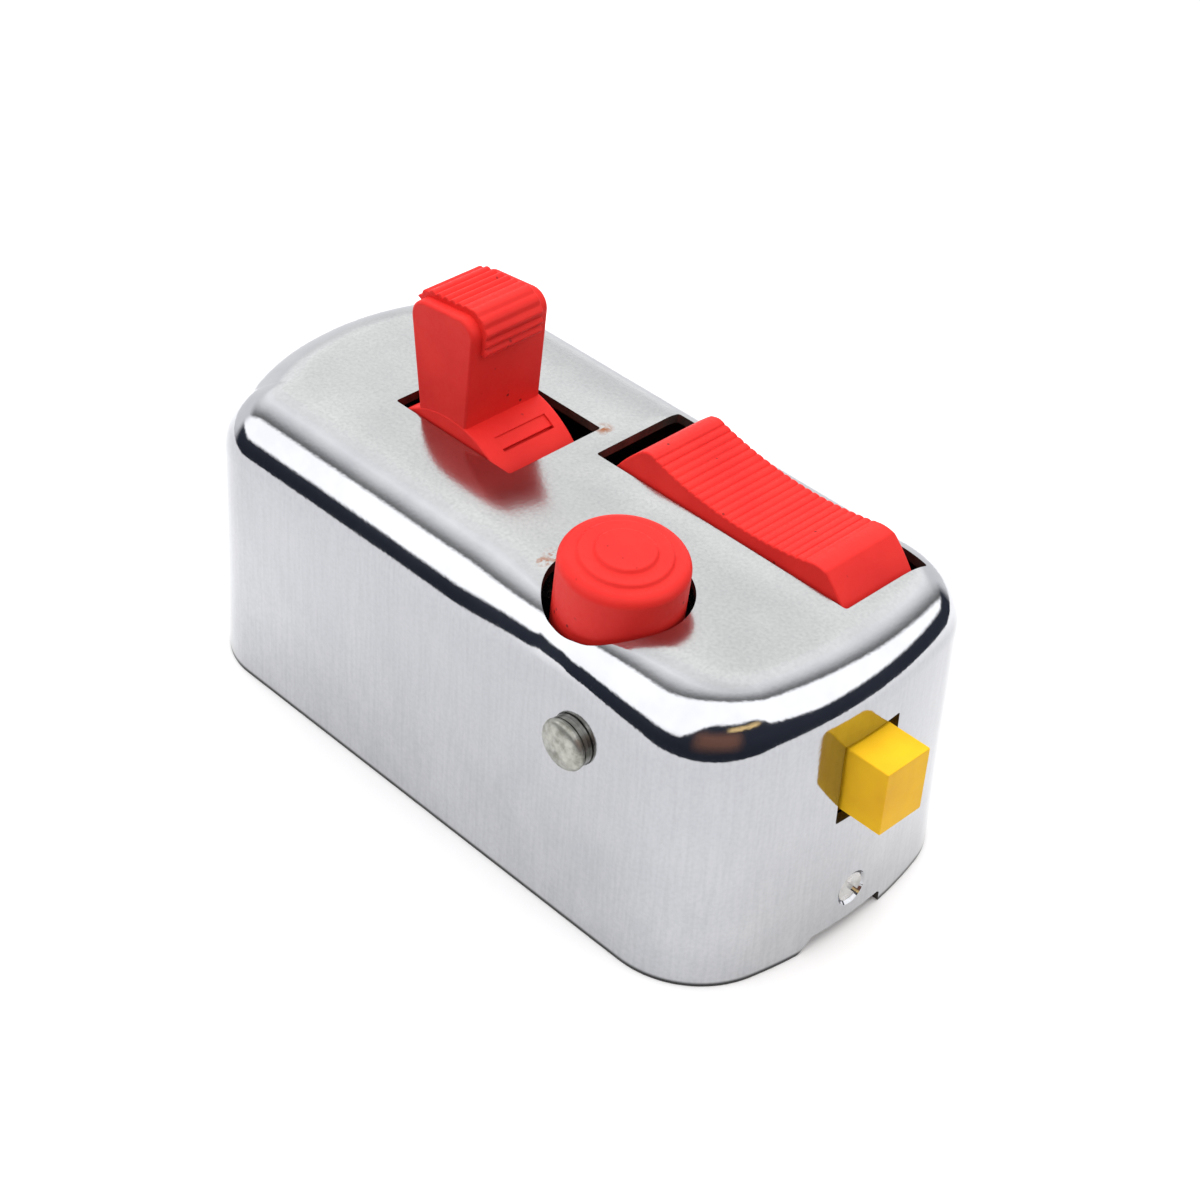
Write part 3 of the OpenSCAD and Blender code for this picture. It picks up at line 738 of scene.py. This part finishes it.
class Nodes:
    """Small helper that builds one node tree."""

    def __init__(self, tree):
        self.tree = tree
        tree.nodes.clear()

    def add(self, kind, values=None, **props):
        """A node with its properties, and its inputs either linked or set."""
        node = self.tree.nodes.new(kind)
        for key, value in props.items():
            setattr(node, key, value)
        for key, value in (values or {}).items():
            if isinstance(value, bpy.types.NodeSocket):
                self.tree.links.new(value, node.inputs[key])
            else:
                node.inputs[key].default_value = value
        return node

    def noise(self, where, scale, detail=3.0, roughness=0.5):
        values = {"Vector": where, "Scale": scale, "Detail": detail, "Roughness": roughness}
        return self.add("ShaderNodeTexNoise", values).outputs["Fac"]

    def span(self, value, low, high, to_low=0.0, to_high=1.0, kind="LINEAR"):
        """The value's place between low and high, as a number from to_low to to_high."""
        ends = {"From Min": low, "From Max": high, "To Min": to_low, "To Max": to_high}
        node = self.add("ShaderNodeMapRange", {"Value": value, **ends}, interpolation_type=kind)
        return node.outputs["Result"]

    def math(self, operation, a, b=0.0):
        return self.add("ShaderNodeMath", {0: a, 1: b}, operation=operation).outputs[0]

    def product(self, first, *others):
        for other in others:
            first = self.math("MULTIPLY", first, other)
        return first

    def vector(self, operation, a, b=(0.0, 0.0, 0.0)):
        node = self.add("ShaderNodeVectorMath", {0: a, 1: b}, operation=operation)
        return node.outputs["Value" if operation in ("DISTANCE", "DOT_PRODUCT") else "Vector"]

    def mix(self, factor, a, b):
        """Colour a blended towards colour b by factor."""
        return self.add("ShaderNodeMix", {0: factor, 6: a, 7: b}, data_type="RGBA").outputs[2]

    def bump(self, height, strength, distance, normal=None):
        values = {"Height": height, "Strength": strength, "Distance": distance}
        if normal:
            values["Normal"] = normal
        return self.add("ShaderNodeBump", values).outputs["Normal"]


def new_material(name):
    """(material, node helper, object coordinates)"""
    mat = bpy.data.materials.new(name)
    mat.use_nodes = True
    nodes = Nodes(mat.node_tree)
    where = nodes.add("ShaderNodeTexCoord").outputs["Object"]
    return mat, nodes, where


def finish_material(nodes, values):
    """Close a material with one Principled shader."""
    shader = nodes.add("ShaderNodeBsdfPrincipled", values)
    nodes.add("ShaderNodeOutputMaterial", {"Surface": shader.outputs["BSDF"]})


def rgb(r, g, b):
    return (r, g, b, 1.0)


CROWN = 2273.0  # slope of the top face for each square metre of distance from its middle line
LIP_TILT = -0.32  # slope of the pressed lip along the rocker's slot
RUST_SPOTS = ((-1.9, 5.2, 1.0), (8.2, -9.6, 1.3), (8.0, -10.8, 0.8), (-15.9, 5.2, 0.7))  # (x, y, reach)
# Heights between which a finish or painted shade comes in, in metres: the top's tint, the walls' painted shade and
# the bottom rim's painted contact shadow
TOP_FADE = (TOP_Z * MM - 0.00045, TOP_Z * MM - 0.00002)
WALL_SHADE_AND_WEAR_FADE = (0.0242, 0.0232)
RIM_SHADOW_FADE = (0.00045, 0.0002)
PLATING = (rgb(0.505, 0.512, 0.535), rgb(0.575, 0.582, 0.60))
TOP_TINT = rgb(0.56, 0.57, 0.50)
# Painted shade: the walls' plating is darkened, more so higher up, to tone down the floor's bright reflection in
# them
WALL_PAINTED_SHADE = rgb(0.40, 0.405, 0.425)
WEAR_TINT = rgb(0.22, 0.225, 0.24)
# Painted contact shadow: the bottom rim's plating turned nearly black where the cover meets the floor
RIM_PAINTED_SHADOW = rgb(0.06, 0.06, 0.06)
RUST_TINT = rgb(0.36, 0.13, 0.05)


def crowned_normal(nodes, xyz, upper):
    """Normals that crown the flat top across its width and turn down its lip at the rocker's slot."""
    x, y = xyz.outputs["X"], xyz.outputs["Y"]
    crown = nodes.product(y, nodes.math("ABSOLUTE", y), CROWN, upper)
    lip = nodes.product(nodes.span(y, -0.003, 0.001), upper, nodes.span(x, -0.001, 0.003), LIP_TILT)
    tilt = nodes.add("ShaderNodeCombineXYZ", {"Y": nodes.math("ADD", crown, lip)}).outputs[0]
    normal = nodes.add("ShaderNodeNewGeometry").outputs["Normal"]
    return nodes.vector("NORMALIZE", nodes.vector("ADD", normal, tilt))


def chrome():
    """Decorative chrome on pressed steel: a crowned, finely brushed top, rust at the openings, painted shade on
    the walls and a painted contact shadow along the bottom rim.
    """
    mat, nodes, where = new_material("chrome_plate")
    xyz = nodes.add("ShaderNodeSeparateXYZ", {0: where})
    height = xyz.outputs["Z"]
    streaks = nodes.add("ShaderNodeMapping", {"Vector": where, "Scale": (1.0, 1.0, 0.05)}).outputs[0]
    grain = nodes.noise(where, 3000, 3)
    lines = nodes.noise(streaks, 3600, 2)
    haze = nodes.noise(where, 160, 4, 0.6)
    upper = nodes.span(height, *TOP_FADE)
    normal = crowned_normal(nodes, xyz, upper)
    normal = nodes.bump(nodes.noise(where, 70, 2), 0.22, 0.0004, normal)
    normal = nodes.bump(lines, 0.10, 0.00002, normal)
    normal = nodes.bump(grain, 0.22, 0.00002, normal)
    rough = nodes.math("ADD", nodes.span(haze, 0.3, 0.7, 0.06, 0.10), nodes.product(upper, 0.09))

    tint = nodes.mix(nodes.span(haze, 0.35, 0.65), *PLATING)
    tint = nodes.mix(nodes.product(upper, 0.3), tint, TOP_TINT)
    wall = nodes.span(height, *WALL_SHADE_AND_WEAR_FADE)
    # Painted shade on the walls: slight at the rim, nearly full just under the rolled edge
    painted_wall_shade = nodes.product(wall, nodes.span(height, 0.0, 0.022, 0.15, 0.95))
    tint = nodes.mix(painted_wall_shade, tint, WALL_PAINTED_SHADE)
    brushed = nodes.span(lines, 0.40, 0.66, 0.0, 0.11)
    worn = nodes.math("ADD", brushed, nodes.span(grain, 0.42, 0.62, 0.0, 0.10))
    worn = nodes.product(worn, nodes.math("MAXIMUM", wall, upper))
    tint = nodes.mix(worn, tint, WEAR_TINT)
    # Painted contact shadow along the bottom rim
    tint = nodes.mix(nodes.span(height, *RIM_SHADOW_FADE), tint, RIM_PAINTED_SHADOW)
    tint = nodes.mix(rust_mask(nodes, where), tint, RUST_TINT)
    finish_material(nodes, {"Base Color": tint, "Metallic": 1.0, "Roughness": rough, "Normal": normal})
    return mat


def rust_mask(nodes, where):
    """Speckled rust close to a few places on the openings' edges."""
    near = 0.0
    for x, y, reach in RUST_SPOTS:
        spot = (x * MM, y * MM, TOP_Z * MM)
        gap = nodes.vector("DISTANCE", where, spot)
        near = nodes.math("MAXIMUM", near, nodes.span(gap, reach * MM, 0.2 * reach * MM))
    return nodes.product(near, nodes.span(nodes.noise(where, 2200, 3), 0.44, 0.58))


def moulded(name, base, shade, dirt, rough):
    """Moulded plastic with a soft gloss, slight colour drift and small dark specks."""
    mat, nodes, where = new_material(name)
    drift = nodes.noise(where, 220, 3)
    grain = nodes.noise(where, 3000, 2)
    cells = nodes.add("ShaderNodeTexVoronoi", {"Vector": where, "Scale": 900}, feature="F1")
    dots = nodes.span(cells.outputs["Distance"], 0.15, 0.08)
    speck = nodes.product(dots, nodes.span(nodes.noise(where, 330, 2), 0.56, 0.62))
    colour = nodes.mix(nodes.span(drift, 0.3, 0.7), base, shade)
    colour = nodes.mix(speck, colour, dirt)
    gloss = nodes.span(grain, 0.3, 0.7, rough - 0.05, rough + 0.07)
    normal = nodes.bump(grain, 0.12, 0.00004)
    values = {"Base Color": colour, "Roughness": gloss, "Normal": normal, "Specular IOR Level": 0.16}
    finish_material(nodes, values)
    return mat


def metal(name, base, stain, rough):
    """Plain or plated metal with fine scratches and a matt bloom."""
    mat, nodes, where = new_material(name)
    bloom = nodes.noise(where, 700, 4, 0.65)
    grain = nodes.noise(where, 4200, 2)
    colour = nodes.mix(nodes.span(bloom, 0.35, 0.7), base, stain)
    gloss = nodes.span(bloom, 0.3, 0.7, rough - 0.08, rough + 0.12)
    normal = nodes.bump(grain, 0.2, 0.00003)
    finish_material(nodes, {"Base Color": colour, "Metallic": 0.9, "Roughness": gloss, "Normal": normal})
    return mat


def floor_material():
    """A pale matt floor with hardly any variation."""
    mat, nodes, where = new_material("pale_floor")
    tone = nodes.noise(where, 6, 2)
    colour = nodes.mix(nodes.span(tone, 0.3, 0.7), rgb(0.92, 0.92, 0.92), rgb(0.94, 0.94, 0.94))
    finish_material(nodes, {"Base Color": colour, "Roughness": 0.9, "Specular IOR Level": 0.1})
    return mat


# Moulded plastics: (base colour, darker drift, specks, roughness)
PLASTICS = {
    "red_plastic": (rgb(0.74, 0.028, 0.022), rgb(0.67, 0.021, 0.018), rgb(0.16, 0.010, 0.008), 0.5),
    "yellow_plastic": (rgb(0.88, 0.52, 0.014), rgb(0.76, 0.41, 0.012), rgb(0.45, 0.25, 0.02), 0.55),
    "dark_moulding": (rgb(0.022, 0.018, 0.015), rgb(0.030, 0.024, 0.020), rgb(0.06, 0.05, 0.04), 0.6),
}
# Metals: (base colour, stain, roughness)
METALS = {
    "bare_steel": (rgb(0.11, 0.10, 0.085), rgb(0.045, 0.038, 0.03), 0.6),
    "zinc_steel": (rgb(0.66, 0.66, 0.65), rgb(0.42, 0.41, 0.39), 0.28),
    "dull_steel": (rgb(0.47, 0.47, 0.43), rgb(0.17, 0.168, 0.145), 0.34),
    "spring_steel": (rgb(0.40, 0.40, 0.40), rgb(0.28, 0.27, 0.26), 0.35),
    "brass": (rgb(0.66, 0.47, 0.18), rgb(0.40, 0.26, 0.10), 0.35),
}
MATERIALS = {"chrome_plate": chrome()}
MATERIALS.update({name: moulded(name, *look) for name, look in PLASTICS.items()})
MATERIALS.update({name: metal(name, *look) for name, look in METALS.items()})


def place(obj, body, slot, *replaced):
    """Finish a piece: metres, material, body and slot."""
    to_metres(obj)
    obj.data.materials.append(MATERIALS[slot])
    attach(obj, body)
    if replaced:
        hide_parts(*replaced)


# ------------------------------------------------------------------ build

cover = build_cover()
place(cover, "housing", "chrome_plate", "cover")
cover.data.materials.append(MATERIALS["bare_steel"])
place(build_lever(), "lever", "red_plastic", "light_lever")
place(build_rocker(), "rocker_arm", "red_plastic", "rocker")
place(build_button(), "horn", "red_plastic", "horn_button")
place(build_key(), "key", "yellow_plastic", "stop_key")
place(build_rivet(), "housing", "dull_steel", "side_rivet")

for entry in frame["record"]["subparts"]:
    node = frame["nodes"][entry["node"]]
    node.data.materials.clear()
    node.data.materials.append(MATERIALS[entry["material_slot"]])

# ------------------------------------------------------------------ floor, light and camera

# A disc just under the switch, in metres
FLOOR_R = 0.132
FLOOR_AT = (-0.035, 0.040, -0.00005)

bpy.ops.mesh.primitive_circle_add(vertices=96, radius=FLOOR_R, fill_type="NGON", location=FLOOR_AT)
floor = bpy.context.active_object
floor.name = "floor"
floor.data.materials.append(floor_material())


# The studio, as tones across the sheet that hangs over the object: (place across it, brightness)
SHEET = (
    (0.0, 1.85),
    (0.66, 1.85),
    (0.74, 0.20),
    (0.84, 0.40),
    (1.0, 0.95),
    (1.16, 1.34),
    (1.30, 1.38),
    (1.43, 1.16),
)
SHEET_SPAN = 1.45
SHEET_WAY = (-0.69, 0.72, 1.0)
STRENGTH = 2.0
HORIZON = 0.15  # the sheet's lower edge, as the sine of its height
# What stands round the object: (azimuth, cosine of the angle off it where it ends and where it's full)
GAP = (-30, 0.52, 0.95)  # dark, and higher than the horizon by
GAP_RISE = 0.46
WARM = (-46, 0.87, 0.975)  # a brown patch in the gap
GLINT = (-18, 0.92, 0.98)  # a golden line near the gap's top
BEHIND = (145, 0.45, 0.65)  # light low down behind the object

ROOM_TONE = rgb(0.018, 0.021, 0.030)
WARM_TONE = rgb(0.125, 0.062, 0.046)
GLINT_TONE = rgb(0.62, 0.44, 0.20)
BEHIND_TONE = rgb(0.5, 0.5, 0.51)
BACKDROP = rgb(0.5, 0.5, 0.5)  # what the camera sees past the floor


def sheet_tones(nodes, where):
    """Brightness across the hung sheet."""
    across = nodes.vector("DOT_PRODUCT", where, SHEET_WAY)
    sheet = nodes.add("ShaderNodeValToRGB", {"Fac": nodes.span(across, 0.0, SHEET_SPAN)})
    stops = sheet.color_ramp.elements
    while len(stops) < len(SHEET):
        stops.new(0.5)
    for stop, (position, tone) in zip(stops, SHEET):
        stop.position = position / SHEET_SPAN
        stop.color = rgb(tone / STRENGTH, tone / STRENGTH, tone / STRENGTH * 1.01)
    return sheet.outputs["Color"]


def build_world():
    """A soft studio: a hung white sheet, the dark room under its edge, and a person-sized dark gap."""
    world = bpy.data.worlds.new("studio")
    bpy.context.scene.world = world
    world.use_nodes = True
    nodes = Nodes(world.node_tree)
    where = nodes.add("ShaderNodeTexCoord").outputs["Generated"]
    height = nodes.add("ShaderNodeSeparateXYZ", {0: where}).outputs["Z"]
    level = nodes.vector("NORMALIZE", nodes.vector("MULTIPLY", where, (1.0, 1.0, 0.0)))

    def toward(azimuth, low, high):
        """1 in the middle of a compass direction, fading to 0 at its sides."""
        way = (math.cos(math.radians(azimuth)), math.sin(math.radians(azimuth)), 0.0)
        return nodes.span(nodes.vector("DOT_PRODUCT", level, way), low, high, kind="SMOOTHSTEP")

    edge = nodes.math("ADD", nodes.product(toward(*GAP), GAP_RISE), HORIZON)
    lit = nodes.span(nodes.math("SUBTRACT", height, edge), -0.03, 0.03)
    warm = nodes.product(nodes.span(height, 0.50, 0.30), nodes.span(height, -0.2, 0.1), toward(*WARM))
    room = nodes.mix(warm, ROOM_TONE, WARM_TONE)
    glint = nodes.product(nodes.span(height, 0.42, 0.46), nodes.span(height, 0.56, 0.50), toward(*GLINT))
    room = nodes.mix(glint, room, GLINT_TONE)
    colour = nodes.mix(lit, room, sheet_tones(nodes, where))
    behind = nodes.product(toward(*BEHIND), nodes.span(height, 0.42, 0.25))
    colour = nodes.mix(behind, colour, BEHIND_TONE)
    seen = nodes.add("ShaderNodeLightPath").outputs["Is Camera Ray"]
    colour = nodes.mix(seen, colour, BACKDROP)
    background = nodes.add("ShaderNodeBackground", {"Color": colour, "Strength": STRENGTH})
    nodes.add("ShaderNodeOutputWorld", {"Surface": background.outputs["Background"]})


build_world()

LAMP_ENERGY = 1.55
LAMP_ANGLE = 70
LAMP_TURN = (-14, -10)  # degrees about X and then Y

# Broad light from above, which brightens matt surfaces and isn't seen in the chrome
lamp_data = bpy.data.lights.new("overhead", "SUN")
lamp_data.energy = LAMP_ENERGY
lamp_data.angle = math.radians(LAMP_ANGLE)
lamp = bpy.data.objects.new("overhead", lamp_data)
bpy.context.scene.collection.objects.link(lamp)
about_x, about_y = (Matrix.Rotation(math.radians(a), 4, axis) for a, axis in zip(LAMP_TURN, "XY"))
lamp.matrix_world = about_x @ about_y
lamp.visible_glossy = False

# The camera: its place in metres, its turns in degrees, and its sensor and lens in millimetres
CAMERA_AT = (0.11461, -0.11687, 0.13974)
CAMERA_AZIMUTH = 43.459
CAMERA_ELEVATION = 37.681
CAMERA_ROLL = 3.677
SENSOR = 36
LENS = 74.65

camera_data = bpy.data.cameras.new("camera")
camera_data.sensor_width = SENSOR
camera_data.lens = LENS
camera_data.clip_start = 0.001
camera = bpy.data.objects.new("camera", camera_data)
bpy.context.scene.collection.objects.link(camera)
camera.matrix_world = (
    Matrix.Translation(CAMERA_AT)
    @ Matrix.Rotation(math.radians(CAMERA_AZIMUTH), 4, "Z")
    @ Matrix.Rotation(math.radians(90 - CAMERA_ELEVATION), 4, "X")
    @ Matrix.Rotation(math.radians(CAMERA_ROLL), 4, "Z")
)
bpy.context.scene.camera = camera
bpy.context.scene.view_settings.view_transform = "Standard"
